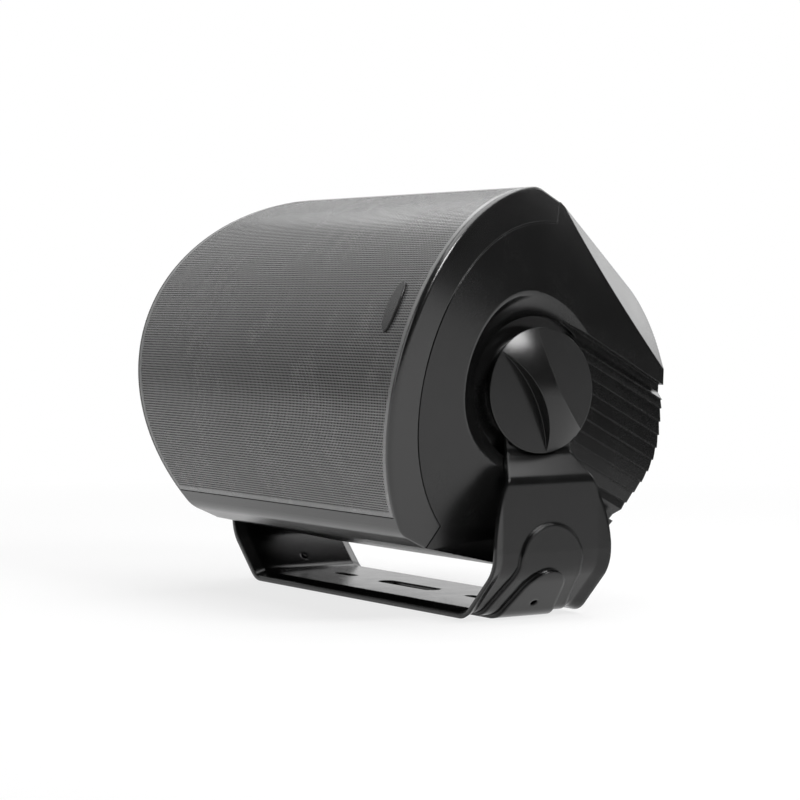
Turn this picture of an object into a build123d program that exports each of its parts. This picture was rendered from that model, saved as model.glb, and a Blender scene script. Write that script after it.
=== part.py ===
"""Outdoor patio loudspeaker: a sealed moulded cabinet that tilts between the arms of a pressed steel yoke.

Cabinet pieces are drawn in the cabinet's own frame: the pivot axis is X through the origin, the grille
faces -Y and the cabinet's upper side is +Z. They are then tilted about the pivot and lifted onto the yoke.
The finished frame has its origin on the floor, midway between the arms, with +Z up.
"""

import math
import os

from build123d import *

os.makedirs("parts", exist_ok=True)

# Pose of the cabinet on the yoke
pivot_height = 141.5
tilt_deg = 25.4  # grille turned upwards from level

# Cabinet envelope
half_length = 170.0  # middle to the end rim, at mid height on the front
end_taper = 0.16  # inward slope of each end face, front to rear
end_bow_radius = 285.0  # each end is bowed outwards over the cabinet's height
front_radius = 133.0
body_half_height = 117.0
split_y = -26.0  # parting plane of bezel and rear cabinet along the top and bottom
front_shoulder = 20.2456  # flat between the front arc and the parting plane
front_centre_y = round(split_y - front_shoulder + math.sqrt(front_radius**2 - body_half_height**2), 3)
front_y = front_centre_y - front_radius
rear_corner = (84.0, body_half_height - 25.0)  # sharp corner of the rear section before rounding
rear_tip_y = 112.0
front_corner_round = 18.0
rear_corner_round = 45.0
rear_tip_round = 60.0
cabinet_wall = 9.0
rim_round = 2.5

# Flat bevels where the rear slopes meet the end faces
bevel_point = (half_length - 38.0, -23.6, body_half_height - 2.2)
bevel_normal = (0.761, 0.293, 0.579)

# Parting line on the end faces
seam_radius = 109.0
seam_centre_y = 12.0
seam_groove = 0.9
gasket_inset = 2.5
gasket_width = 3.0
gasket_depth = 1.5

# Lapped fins on each end face behind the pivot
fin_pitch = 8.2
fin_count = 9
fin_lap = 1.5  # each fin's lower lip stands this far over the next one
fin_recess = 4.7  # lips below the end face beside the pivot, dying out at fin_fade_y
fin_fade_y = 108.0
fin_undercut = 0.2
fin_end_radius = 43.2  # fins stop short of the clamp knob
fin_bank_z = 38.2  # outer edge of the last fin on each side
fin_ditch_z = (42.5, 47.2)
fin_ditch_depth = (6.5, 4.8)  # beside the pivot and at the rear

# Conical pivot bowl in each end face
bowl_floor_x = half_length - 29.0
bowl_floor_radius = 45.5
bowl_slope = 0.76  # rise of the bowl's wall for each step outwards
bowl_slope_width = 12.0
bowl_turn_radius = 14.0  # the wall turns up into the high front of the bowl
bowl_lip_round = 4.0
bowl_wall = 7.0
insert_radius = 8.0
insert_length = 16.0
insert_boss_radius = 13.0
moat_inner_radius = 34.0
moat_depth = 4.5

# Grille
grille_sheet = 1.2
grille_rim = 3.6  # visible bezel edge outside the grille
grille_half_height = body_half_height - 7.0
grille_fit = 0.2
slot_rows = 60
slot_width = 1.9
strap_half_width = 3.0

# Blank oval badge on the grille
badge_x = half_length - 27.5
badge_z = 2.0
badge_half = (5.8, 16.5)
badge_height = 1.6

# Baffle panel behind the grille
panel_front_y = -62.0
panel_thickness = 6.0
tub_fit = 0.4
tub_wall = 3.6
corner_post_x = half_length - end_taper * (panel_front_y - front_y) - 27.36
corner_post_z = body_half_height - 45.0

# Drivers
woofer_x = 55.0
woofer_flange_radius = 82.0
woofer_hole_radius = 73.0
woofer_screw_circle = 78.0
woofer_screw_count = 8
tweeter_x = -92.0
tweeter_flange_radius = 45.0
tweeter_hole_radius = 36.0
tweeter_screw_circle = 40.5
tweeter_screw_count = 4

# Terminals and crossover
land_y = 103.5
land_half = (42.0, 29.0)
cup_half = (30.0, 19.0)
cup_flange_half = (38.0, 25.0)
cup_depth = 18.0
post_spacing = 19.0
board_y = 40.0
board_half = (50.0, 36.0)
board_sheet = 1.6
board_post = (44.0, 30.0)

# Clamp knobs
knob_radius = 38.7
knob_foot_x = bowl_floor_x + 5.6
knob_rim_x = knob_foot_x + 1.4
knob_crown_x = knob_rim_x + 10.0
knob_land = 0.4  # narrow upright edge round the crown
knob_scoop_radius = 79.0
knob_scoop_offset = 85.5
knob_scoop_x = knob_rim_x + 0.6
knob_grip_deg = 28.0
stud_radius = 4.0

# Yoke
yoke_sheet = 3.0
yoke_half_width = 43.5
yoke_base_half = 128.5
yoke_arm_x = bowl_floor_x + 18.0
yoke_flare_top = 34.2
edge_turn = 3.0  # both long edges are turned outwards
arch_depth = 2.0
web_depth = 2.5
head_outer_x = bowl_floor_x + 4.5
neck_end_radius = 38.0  # where the neck's slope meets the head, below the pivot
neck_start_radius = 53.6
neck_half_widths = (32.0, 24.0)
head_radius = 36.0
pivot_hole_radius = 4.6
yoke_flat_half = 36.2
arch_half = (30.0, 20.5)
arch_shoulder_z = 34.0
arch_top_z = 58.0
web_half = (18.5, 13.0)
web_shoulder_z = 18.0
web_top_z = 29.0
screw_slot_x = 80.0
screw_slot = (24.0, 7.0)
cable_slot = (66.0, 12.0)
flare_hole = (9.5, 13.0)  # out from the base's end, up from the base

ends = (1, -1)
corner_posts = [(sx * corner_post_x, sz * corner_post_z) for sx in ends for sz in ends]
body_place = Location((0, 0, pivot_height), (-tilt_deg, 0, 0))


def save(piece, name, place=body_place):
    placed = piece.part.moved(place)
    placed.label = name
    export_step(placed, f"parts/{name}.step")


def mirrored(piece):
    """The left-hand twin of a right-hand end piece."""
    with BuildPart() as twin:
        add(piece.part.mirror(Plane.YZ))
    return twin


def body_outline(inset):
    """Side section of the cabinet."""
    arc_end_y = front_centre_y - math.sqrt(front_radius**2 - body_half_height**2)
    corner_y, corner_z = rear_corner
    with BuildSketch(Plane.YZ) as section:
        with BuildLine():
            ThreePointArc((arc_end_y, -body_half_height), (front_y, 0), (arc_end_y, body_half_height))
            Polyline(
                (arc_end_y, body_half_height),
                (split_y, body_half_height),
                (corner_y, corner_z),
                (rear_tip_y, 0),
                (corner_y, -corner_z),
                (split_y, -body_half_height),
                (arc_end_y, -body_half_height),
            )
        make_face()
        fillet(section.vertices().sort_by(Axis.X)[-1], rear_tip_round)
        fillet(section.vertices().filter_by(lambda v: abs(v.X - corner_y) < 0.1), rear_corner_round)
        fillet(section.vertices().filter_by(lambda v: abs(v.X - arc_end_y) < 0.1), front_corner_round)
        if inset:
            offset(amount=-inset, kind=Kind.INTERSECTION, mode=Mode.REPLACE)
    return section.sketch


def barrel_section(y, inset):
    """Front-view section of the envelope at depth y, oversize at top and bottom."""
    reach = body_half_height + 20
    bow = end_bow_radius - inset
    tip = half_length - end_taper * (y - front_y) - inset
    shoulder = tip - bow + math.sqrt(bow**2 - reach**2)
    with BuildSketch(Plane.XZ.offset(-y)) as section:
        with BuildLine():
            ThreePointArc((shoulder, -reach), (tip, 0), (shoulder, reach))
            Line((shoulder, reach), (-shoulder, reach))
            ThreePointArc((-shoulder, reach), (-tip, 0), (-shoulder, -reach))
            Line((-shoulder, -reach), (shoulder, -reach))
        make_face()
    return section.sketch


def barrel(inset=0.0):
    """Space between the two bowed, tapering ends."""
    with BuildPart() as form:
        loft([barrel_section(front_y - 10, inset), barrel_section(rear_tip_y + 10, inset)], ruled=True)
    return form.part


def envelope(inset=0.0):
    """The cabinet's closed outer form, taken in by inset on every side."""
    with BuildPart() as form:
        add(barrel(inset))
        extrude(body_outline(inset), amount=half_length + 40, both=True, mode=Mode.INTERSECT)
        for sx in ends:
            for sz in ends:
                cut_point = (sx * bevel_point[0], bevel_point[1], sz * bevel_point[2])
                cut_normal = (sx * bevel_normal[0], bevel_normal[1], sz * bevel_normal[2])
                split(bisect_by=Plane(cut_point, z_dir=cut_normal).offset(-inset), keep=Keep.BOTTOM)
    return form.part


def front_zone(setback=0.0):
    """Everything in front of the parting line."""
    with BuildPart() as zone:
        with BuildSketch(Plane.YZ):
            with Locations((split_y - setback, 0)):
                Rectangle(200, 300, align=(Align.MAX, Align.CENTER))
            with Locations((seam_centre_y, 0)):
                Circle(seam_radius + setback, mode=Mode.SUBTRACT)
        extrude(amount=half_length + 40, both=True)
    return zone.part


def depth_zone(start_y, end_y):
    """A slab across the whole cabinet between two depths."""
    with BuildPart() as zone:
        with Locations((0, (start_y + end_y) / 2, 0)):
            Box(500, end_y - start_y, 400)
    return zone.part


def bowls(floor_x, moat=0.0):
    """The hollow round the pivot at each end, with a moat round its floor."""
    turn_start = (floor_x + bowl_slope * bowl_slope_width, bowl_floor_radius + bowl_slope_width)
    turn_deg = math.degrees(math.atan(1 / bowl_slope))
    mouth_x = half_length + 40
    floor = [(floor_x, 0), (floor_x, bowl_floor_radius)]
    if moat:
        floor[1:1] = [
            (floor_x, moat_inner_radius),
            (floor_x - moat, moat_inner_radius),
            (floor_x - moat, bowl_floor_radius),
        ]
    with BuildPart() as pair:
        with BuildSketch():
            with BuildLine():
                Polyline(*floor, turn_start)
                turn = JernArc(turn_start, (bowl_slope, 1), bowl_turn_radius, -turn_deg)
                Polyline(turn @ 1, (mouth_x, (turn @ 1).Y), (mouth_x, 0), (floor_x, 0))
            make_face()
        revolve(axis=Axis.X)
        mirror(about=Plane.YZ)
    return pair.part


def ring_of(count, radius, x, y):
    """Points round a driver's axis, on its mounting plane."""
    turns = [2 * math.pi * (i + 0.5) / count for i in range(count)]
    return [(x + radius * math.cos(t), y, radius * math.sin(t)) for t in turns]


def turned(x, *profiles):
    """A round piece on a driver axis, from (radius, depth) outlines."""
    with BuildPart() as piece:
        with BuildSketch(Plane((x, 0, 0))):
            for points in profiles:
                with BuildLine():
                    Polyline(*points, close=True)
                make_face()
        revolve(axis=Axis((x, 0, 0), (0, 1, 0)))
    return piece


def ring(x, inner, outer, start_y, end_y):
    """A plain washer shape on a driver axis."""
    return turned(x, [(inner, start_y), (outer, start_y), (outer, end_y), (inner, end_y)])


def dome(x, base_y, base_radius, height, skin):
    """A thin round cap on a driver axis, bulging forwards."""
    sphere = (base_radius**2 + height**2) / (2 * height)
    with BuildPart() as piece:
        with BuildSketch(Plane((x, 0, 0))):
            with Locations((0, base_y - height + sphere)):
                Circle(sphere)
                Circle(sphere - skin, mode=Mode.SUBTRACT)
            with Locations((0, base_y)):
                Rectangle(base_radius, height, align=(Align.MIN, Align.MAX), mode=Mode.INTERSECT)
        revolve(axis=Axis((x, 0, 0), (0, 1, 0)))
    return piece


def screws(points, head_radius, head_height, shank_radius, length):
    """Countersunk-free pan screws driven towards +Y."""
    with BuildPart() as group:
        for x, y, z in points:
            with Locations(Location((x, y, z), (90, 0, 0))):
                Cylinder(head_radius, head_height, align=(Align.CENTER, Align.CENTER, Align.MIN))
                Cylinder(shank_radius, length, align=(Align.CENTER, Align.CENTER, Align.MAX))
                with Locations((0, 0, head_height)):
                    Box(head_radius * 1.3, 0.8, 1.0, mode=Mode.SUBTRACT)
                    Box(0.8, head_radius * 1.3, 1.0, mode=Mode.SUBTRACT)
    return group


# Rear cabinet
outer = envelope()
with BuildPart() as rear_shape:
    add(outer)
    add(front_zone(), mode=Mode.SUBTRACT)


def fin_band_section(y):
    """Front-view section of the cut that leaves the lapped fins at the right-hand end."""
    fade = 1 - y / fin_fade_y
    lip = fin_recess * fade
    ditch = fin_ditch_depth[1] + (fin_ditch_depth[0] - fin_ditch_depth[1]) * fade
    near_z, far_z = fin_ditch_z

    def below_face(z, depth):
        bow = end_bow_radius - math.sqrt(end_bow_radius**2 - z**2)
        return (half_length - end_taper * (y - front_y) - bow - depth, z)

    lips = [((fin_count - 1) / 2 - i) * fin_pitch for i in range(fin_count)]
    outside = half_length + 40
    with BuildSketch(Plane.XZ.offset(-y)) as section:
        with BuildLine():
            profile = [(outside, far_z + 1), below_face(far_z, ditch), below_face(near_z, ditch)]
            for z in [fin_bank_z] + lips:
                profile += [below_face(z, lip), below_face(z - fin_undercut, lip + fin_lap)]
            profile += [below_face(-fin_bank_z, lip), below_face(-near_z, ditch)]
            profile += [below_face(-far_z, ditch), (outside, -far_z - 1)]
            Polyline(*profile, close=True)
        make_face()
    return section.sketch


with BuildPart() as fin_band:
    loft([fin_band_section(0), fin_band_section(rear_tip_y + 20)], ruled=True)
    mirror(about=Plane.YZ)

with BuildPart() as bowl_space:
    add(bowls(bowl_floor_x, moat_depth))
    with BuildPart(mode=Mode.SUBTRACT):
        Box(400, 200, 2 * fin_ditch_z[0], align=(Align.CENTER, Align.MIN, Align.CENTER))
        with Locations(Location((0, 0, 0), (0, 90, 0))):
            Cylinder(fin_end_radius, 500, mode=Mode.SUBTRACT)

with BuildPart() as seam_line:
    add(outer)
    add(envelope(seam_groove), mode=Mode.SUBTRACT)
    add(front_zone(-seam_groove), mode=Mode.INTERSECT)

with BuildPart() as air_space:
    add(envelope(cabinet_wall))
    add(bowls(bowl_floor_x - bowl_wall), mode=Mode.SUBTRACT)
    for sx in ends:
        with Locations(Location((sx * (bowl_floor_x - insert_length), 0, 0), (0, sx * 90, 0))):
            Cylinder(
                insert_boss_radius, 30, align=(Align.CENTER, Align.CENTER, Align.MIN), mode=Mode.SUBTRACT
            )
    for x, z in corner_posts:
        with Locations(Location((x, panel_front_y + panel_thickness, z), (-90, 0, 0))):
            Cylinder(6, 120, align=(Align.CENTER, Align.CENTER, Align.MIN), mode=Mode.SUBTRACT)
    with Locations((0, land_y - 2, 0)):
        Box(92, 9, 66, align=(Align.CENTER, Align.MAX, Align.CENTER), mode=Mode.SUBTRACT)
    for sx in ends:
        for sz in ends:
            post_top = (sx * board_post[0], board_y + board_sheet, sz * board_post[1])
            with Locations(Location(post_top, (-90, 0, 0))):
                Cylinder(5, 80, align=(Align.CENTER, Align.CENTER, Align.MIN), mode=Mode.SUBTRACT)

def is_bowl_lip(edge):
    """True for the edges where the bowl's wall runs out into the end face."""
    spots = [edge @ 0.05, edge @ 0.5, edge @ 0.95]
    on_face = True
    for spot in spots:
        bow = end_bow_radius - math.sqrt(end_bow_radius**2 - spot.Z**2)
        face_x = half_length - end_taper * (spot.Y - front_y) - bow
        on_face = on_face and abs(abs(spot.X) - face_x) < 0.3
    reach = [math.hypot(spot.Y, spot.Z) for spot in spots]
    return on_face and bowl_floor_radius + 1 < min(reach) and max(reach) < bowl_floor_radius + 30


with BuildPart() as rear_cabinet:
    add(rear_shape.part)
    add(fin_band.part, mode=Mode.SUBTRACT)
    add(seam_line.part, mode=Mode.SUBTRACT)
    add(air_space.part, mode=Mode.SUBTRACT)
    add(bowl_space.part, mode=Mode.SUBTRACT)
    fillet(rear_cabinet.edges().filter_by(is_bowl_lip), bowl_lip_round)
    for sx in ends:
        with Locations(Location((sx * bowl_floor_x, 0, 0), (0, sx * 90, 0))):
            Cylinder(insert_radius + 0.05, 2 * insert_length, mode=Mode.SUBTRACT)
    with Locations((0, land_y, 0)):
        Box(
            2 * land_half[0],
            30,
            2 * land_half[1],
            align=(Align.CENTER, Align.MIN, Align.CENTER),
            mode=Mode.SUBTRACT,
        )
        Box(2 * cup_half[0] + 1, 60, 2 * cup_half[1] + 1, mode=Mode.SUBTRACT)
    for x, z in corner_posts:
        with Locations(Location((x, panel_front_y + panel_thickness, z), (-90, 0, 0))):
            Cylinder(1.6, 24, align=(Align.CENTER, Align.CENTER, Align.MIN), mode=Mode.SUBTRACT)
    for sx in ends:
        for sz in ends:
            with Locations(Location((sx * board_post[0], board_y, sz * board_post[1]), (90, 0, 0))):
                Cylinder(1.4, 30, mode=Mode.SUBTRACT)
            with Locations(Location((sx * 34.5, land_y, sz * 21.5), (90, 0, 0))):
                Cylinder(1.5, 16, mode=Mode.SUBTRACT)
save(rear_cabinet, "rear_cabinet")

# Bezel with its baffle panel
back_y = panel_front_y + panel_thickness
with BuildPart() as tub:
    add(envelope(cabinet_wall + tub_fit))
    add(depth_zone(front_y - 20, back_y), mode=Mode.INTERSECT)

with BuildPart() as tub_hollow:
    add(envelope(cabinet_wall + tub_fit + tub_wall))
    add(depth_zone(front_y - 20, panel_front_y), mode=Mode.INTERSECT)

with BuildPart() as rim_hollow:
    add(envelope(cabinet_wall))
    add(depth_zone(back_y, 100), mode=Mode.INTERSECT)

with BuildPart() as cabinet_gasket:
    add(envelope(gasket_inset))
    add(envelope(gasket_inset + gasket_width), mode=Mode.SUBTRACT)
    add(front_zone(), mode=Mode.INTERSECT)
    add(front_zone(gasket_depth), mode=Mode.SUBTRACT)


def grille_zone(inner_radius, outer_radius, half_height, inset):
    """Part of a shell over the front, ending a set distance inside the rim."""
    with BuildPart() as zone:
        with BuildSketch(Plane.YZ):
            with Locations((front_centre_y, 0)):
                Circle(outer_radius)
                Circle(inner_radius, mode=Mode.SUBTRACT)
                Rectangle(300, 2 * half_height, align=(Align.MAX, Align.CENTER), mode=Mode.INTERSECT)
        extrude(amount=half_length, both=True)
        add(barrel(inset), mode=Mode.INTERSECT)
    return zone.part


def is_rim(edge):
    """True for the outer end edges of the bezel, away from the parting line."""
    middle = edge @ 0.5
    from_seam = math.hypot(middle.Y - seam_centre_y, middle.Z) - seam_radius
    return abs(middle.X) > 100 and from_seam > 1 and middle.Y < split_y - 1


with BuildPart() as front_bezel:
    add(outer)
    add(front_zone(), mode=Mode.INTERSECT)
    fillet(front_bezel.edges().filter_by(is_rim), rim_round)
    add(rim_hollow.part, mode=Mode.SUBTRACT)
    add(tub.part)
    add(tub_hollow.part, mode=Mode.SUBTRACT)
    add(
        grille_zone(
            front_radius - grille_sheet - grille_fit, front_radius + 6, grille_half_height + 0.3, grille_rim
        ),
        mode=Mode.SUBTRACT,
    )
    add(cabinet_gasket.part, mode=Mode.SUBTRACT)
    add(bowls(bowl_floor_x - bowl_wall - 1), mode=Mode.SUBTRACT)
    for x, radius in ((woofer_x, woofer_hole_radius), (tweeter_x, tweeter_hole_radius)):
        with Locations(Location((x, panel_front_y, 0), (90, 0, 0))):
            Cylinder(radius, 30, mode=Mode.SUBTRACT)
    with Locations([Location((x, panel_front_y, z), (90, 0, 0)) for x, z in corner_posts]):
        Cylinder(2.2, 30, mode=Mode.SUBTRACT)
    screw_holes = ring_of(woofer_screw_count, woofer_screw_circle, woofer_x, panel_front_y)
    screw_holes += ring_of(tweeter_screw_count, tweeter_screw_circle, tweeter_x, panel_front_y)
    with Locations([Location(point, (90, 0, 0)) for point in screw_holes]):
        Cylinder(1.6, 30, mode=Mode.SUBTRACT)
save(front_bezel, "front_bezel")
save(cabinet_gasket, "cabinet_gasket")

# Perforated grille, drawn with one long slot for each run of holes
with BuildPart() as grille:
    add(grille_zone(front_radius - grille_sheet, front_radius, grille_half_height, grille_rim + 0.3))
    sweep_angle = math.asin((grille_half_height - 4) / front_radius)
    with BuildPart(mode=Mode.SUBTRACT):
        for i in range(slot_rows):
            turn = sweep_angle * (2 * (i + 0.5) / slot_rows - 1)
            y = front_centre_y - front_radius * math.cos(turn)
            z = front_radius * math.sin(turn)
            bow = end_bow_radius - math.sqrt(end_bow_radius**2 - z**2)
            reach = half_length - end_taper * (y - front_y) - bow - grille_rim - 6
            with Locations(Location((strap_half_width, y, z), (-math.degrees(turn), 0, 0))):
                Box(reach - strap_half_width, 6, slot_width, align=(Align.MIN, Align.CENTER, Align.CENTER))
        mirror(about=Plane.YZ)
save(grille, "grille")

# Blank oval badge near one end of the grille
badge_turn = math.asin(badge_z / front_radius)
badge_y = front_centre_y - front_radius * math.cos(badge_turn)
with BuildPart() as badge:
    outwards = (0, -math.cos(badge_turn), math.sin(badge_turn))
    with BuildSketch(Plane((badge_x, badge_y, badge_z), (1, 0, 0), outwards)):
        Ellipse(badge_half[0], badge_half[1])
    extrude(amount=10, both=True)
    add(
        grille_zone(front_radius, front_radius + badge_height, grille_half_height, grille_rim),
        mode=Mode.INTERSECT,
    )
    fillet(badge.faces().sort_by(Axis.Y)[0].edges(), 0.5)
save(badge, "badge")

# Woofer
pf = panel_front_y
with BuildPart() as woofer_basket:
    with BuildSketch(Plane((woofer_x, 0, 0))):
        with BuildLine():
            Polyline(
                (woofer_flange_radius, pf - 3),
                (woofer_flange_radius, pf),
                (72.5, pf),
                (46, pf + 40),
                (46, pf + 42.5),
                (20, pf + 42.5),
                (20, pf + 40),
                (43, pf + 40),
                (50.95, pf + 28),
                (47, pf + 28),
                (47, pf + 26),
                (52.3, pf + 26),
                (69.5, pf),
                (69.5, pf - 3),
                close=True,
            )
        make_face()
    revolve(axis=Axis((woofer_x, 0, 0), (0, 1, 0)))
    for i in range(6):
        with Locations(Location((woofer_x, pf + 33, 0), (0, 60 * i, 0))):
            with Locations((52, 0, 0)):
                Box(24, 8, 34, mode=Mode.SUBTRACT)
            with Locations((64, -20, 0)):
                Box(24, 22, 42, mode=Mode.SUBTRACT)
    with Locations([Location(p, (90, 0, 0)) for p in ring_of(8, woofer_screw_circle, woofer_x, pf)]):
        Cylinder(1.6, 30, mode=Mode.SUBTRACT)
save(woofer_basket, "woofer_basket")

woofer_top_plate = ring(woofer_x, 18, 42, pf + 42.5, pf + 48.5)
save(woofer_top_plate, "woofer_top_plate")
woofer_magnet = ring(woofer_x, 26, 45, pf + 48.5, pf + 66.5)
save(woofer_magnet, "woofer_magnet")
woofer_back_plate = turned(
    woofer_x,
    [(0, pf + 42.5), (15, pf + 42.5), (15, pf + 66.5), (43, pf + 66.5), (43, pf + 72.5), (0, pf + 72.5)],
)
save(woofer_back_plate, "woofer_back_plate")
voice_coil = ring(woofer_x, 15.8, 17.2, pf + 20, pf + 50)
save(voice_coil, "voice_coil")
wave_radii = [20 + 3.5 * i for i in range(8)]
wave_front = [(r, pf + 25.2 - (1.4 if i % 2 else 0)) for i, r in enumerate(wave_radii)]
wave_back = [(r, y + 0.8) for r, y in reversed(wave_front)]
spider = turned(
    woofer_x,
    [(17.3, pf + 25.2)] + wave_front + [(47, pf + 25.2), (51.5, pf + 25.2), (51.5, pf + 26), (47, pf + 26)]
    + wave_back + [(17.3, pf + 26)],
)
save(spider, "spider")
woofer_cone = turned(woofer_x, [(17.2, pf + 22), (60, pf - 2.2), (60, pf - 1.2), (17.2, pf + 23)])
save(woofer_cone, "woofer_cone")

dust_cap = dome(woofer_x, pf + 19.7, 21, 8.5, 0.8)
save(dust_cap, "dust_cap")

with BuildPart() as woofer_surround:
    with BuildSketch(Plane((woofer_x, 0, 0))):
        with Locations((65, pf - 3)):
            Circle(5)
            Circle(4.2, mode=Mode.SUBTRACT)
            Rectangle(12, 6, align=(Align.CENTER, Align.MAX), mode=Mode.INTERSECT)
        with Locations((72.1, pf - 3.4)):
            Rectangle(5.8, 0.8)
        with Locations((59.9, pf - 2.6)):
            Rectangle(1.8, 0.8)
    revolve(axis=Axis((woofer_x, 0, 0), (0, 1, 0)))
save(woofer_surround, "woofer_surround")
woofer_trim = ring(woofer_x, 70.6, 75, pf - 5.3, pf - 3.8)
save(woofer_trim, "woofer_trim")
woofer_screws = screws(ring_of(woofer_screw_count, woofer_screw_circle, woofer_x, pf - 3), 2.6, 2, 1.5, 16)
save(woofer_screws, "woofer_screws")

# Tweeter
with BuildPart() as tweeter_faceplate:
    add(
        turned(
            tweeter_x,
            [(45, pf - 4), (45, pf), (35, pf), (35, pf + 5), (14.2, pf + 5), (14.2, pf + 3.5), (32, pf - 4)],
        ).part
    )
    with Locations([Location(p, (90, 0, 0)) for p in ring_of(4, tweeter_screw_circle, tweeter_x, pf)]):
        Cylinder(1.6, 30, mode=Mode.SUBTRACT)
save(tweeter_faceplate, "tweeter_faceplate")
tweeter_dome = dome(tweeter_x, pf + 5, 13.8, 5.5, 0.5)
save(tweeter_dome, "tweeter_dome")
tweeter_top_plate = ring(tweeter_x, 12.9, 34, pf + 5, pf + 9)
save(tweeter_top_plate, "tweeter_top_plate")
tweeter_magnet = ring(tweeter_x, 18, 33, pf + 9, pf + 19)
save(tweeter_magnet, "tweeter_magnet")
tweeter_back_plate = turned(
    tweeter_x, [(0, pf + 5.6), (11.8, pf + 5.6), (11.8, pf + 19), (32, pf + 19), (32, pf + 23), (0, pf + 23)]
)
save(tweeter_back_plate, "tweeter_back_plate")
tweeter_screw_points = ring_of(tweeter_screw_count, tweeter_screw_circle, tweeter_x, pf - 4)
tweeter_screws = screws(tweeter_screw_points, 2.6, 2, 1.5, 15)
save(tweeter_screws, "tweeter_screws")
baffle_screws = screws([(x, pf, z) for x, z in corner_posts], 4, 2.6, 1.55, 28)
save(baffle_screws, "baffle_screws")

# Crossover
board_holes = [(sx * board_post[0], board_y, sz * board_post[1]) for sx in ends for sz in ends]
with BuildPart() as crossover_board:
    with Locations((0, board_y, 0)):
        Box(2 * board_half[0], board_sheet, 2 * board_half[1], align=(Align.CENTER, Align.MIN, Align.CENTER))
    with Locations([Location(point, (90, 0, 0)) for point in board_holes]):
        Cylinder(1.6, 10, mode=Mode.SUBTRACT)
save(crossover_board, "crossover_board")
board_screws = screws(board_holes, 3, 2, 1.35, 12)
save(board_screws, "board_screws")
with BuildPart() as inductor:
    with Locations(Location((-24, board_y, 12), (90, 0, 0))):
        Cylinder(16, 15, align=(Align.CENTER, Align.CENTER, Align.MIN))
        Cylinder(7, 40, mode=Mode.SUBTRACT)
save(inductor, "inductor")
with BuildPart() as capacitors:
    with Locations([Location((18, board_y - 7, sz * 13), (0, 90, 0)) for sz in ends]):
        Cylinder(7, 32)
save(capacitors, "capacitors")
with BuildPart() as resistor:
    with Locations((-22, board_y, -24)):
        Box(28, 8, 9, align=(Align.CENTER, Align.MAX, Align.CENTER))
save(resistor, "resistor")

# Terminal cup and binding posts
cup_floor_y = land_y - cup_depth
cup_screw = (34.5, 21.5)
cup_screw_places = [(sx * cup_screw[0], land_y + 2.5, sz * cup_screw[1]) for sx in ends for sz in ends]
posts = {"positive": post_spacing / 2, "negative": -post_spacing / 2}
with BuildPart() as terminal_cup:
    with Locations((0, land_y, 0)):
        Box(
            2 * cup_flange_half[0],
            2.5,
            2 * cup_flange_half[1],
            align=(Align.CENTER, Align.MIN, Align.CENTER),
        )
    with Locations((0, cup_floor_y, 0)):
        Box(2 * cup_half[0], cup_depth + 1, 2 * cup_half[1], align=(Align.CENTER, Align.MIN, Align.CENTER))
    with Locations((0, cup_floor_y + 2.5, 0)):
        Box(
            2 * cup_half[0] - 5,
            30,
            2 * cup_half[1] - 5,
            align=(Align.CENTER, Align.MIN, Align.CENTER),
            mode=Mode.SUBTRACT,
        )
    with Locations([Location((x, cup_floor_y, 0), (90, 0, 0)) for x in posts.values()]):
        Cylinder(3.05, 10, mode=Mode.SUBTRACT)
    with Locations([Location(p, (90, 0, 0)) for p in cup_screw_places]):
        Cylinder(1.5, 10, mode=Mode.SUBTRACT)
save(terminal_cup, "terminal_cup")
with BuildPart() as cup_screws:
    for point in cup_screw_places:
        with Locations(Location(point, (-90, 0, 0))):
            Cylinder(2.6, 1.8, align=(Align.CENTER, Align.CENTER, Align.MIN))
            Cylinder(1.4, 9, align=(Align.CENTER, Align.CENTER, Align.MAX))
save(cup_screws, "cup_screws")
for name, x in posts.items():
    with BuildPart() as terminal_stud:
        with Locations(Location((x, cup_floor_y + 2.5, 0), (-90, 0, 0))):
            Cylinder(3, 11, align=(Align.CENTER, Align.CENTER, Align.MAX))
            Cylinder(6, 3, align=(Align.CENTER, Align.CENTER, Align.MIN))
            Cylinder(2.4, 14, align=(Align.CENTER, Align.CENTER, Align.MIN))
    save(terminal_stud, f"terminal_stud_{name}")
    with BuildPart() as terminal_cap:
        with Locations(Location((x, cup_floor_y + 6, 0), (-90, 0, 0))):
            Cylinder(5.5, 12, align=(Align.CENTER, Align.CENTER, Align.MIN))
            Cylinder(2.45, 22, mode=Mode.SUBTRACT)
            with PolarLocations(5.8, 12):
                Cylinder(0.7, 40, mode=Mode.SUBTRACT)
    save(terminal_cap, f"terminal_cap_{name}")
with BuildPart() as terminal_nuts:
    for x in posts.values():
        with Locations(Location((x, cup_floor_y, 0), (-90, 0, 0))):
            with BuildSketch(Plane((x, cup_floor_y, 0), (1, 0, 0), (0, -1, 0))):
                RegularPolygon(5.5, 6)
                Circle(3.02, mode=Mode.SUBTRACT)
        extrude(amount=3)
save(terminal_nuts, "terminal_nuts")


# Pivot hardware, right-hand end
def turned_on_pivot(*spans):
    """Stepped round piece on the pivot axis, from (start, end, inner radius, outer radius) spans."""
    with BuildPart() as piece:
        with BuildSketch():
            for start, end, low, high in spans:
                with Locations(((start + end) / 2, (low + high) / 2)):
                    Rectangle(end - start, high - low)
        revolve(axis=Axis.X)
    return piece


pivot_insert = turned_on_pivot(
    (bowl_floor_x - insert_length, bowl_floor_x, stud_radius + 0.05, insert_radius)
)
friction_washer = turned_on_pivot((bowl_floor_x, head_outer_x - yoke_sheet - 0.1, 9, 32))
clamp_washer = turned_on_pivot((head_outer_x + 0.1, knob_foot_x + 0.9, 4.3, 20))
knob_stud = turned_on_pivot((bowl_floor_x - insert_length - 3, knob_foot_x + 6, 0, stud_radius))

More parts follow.
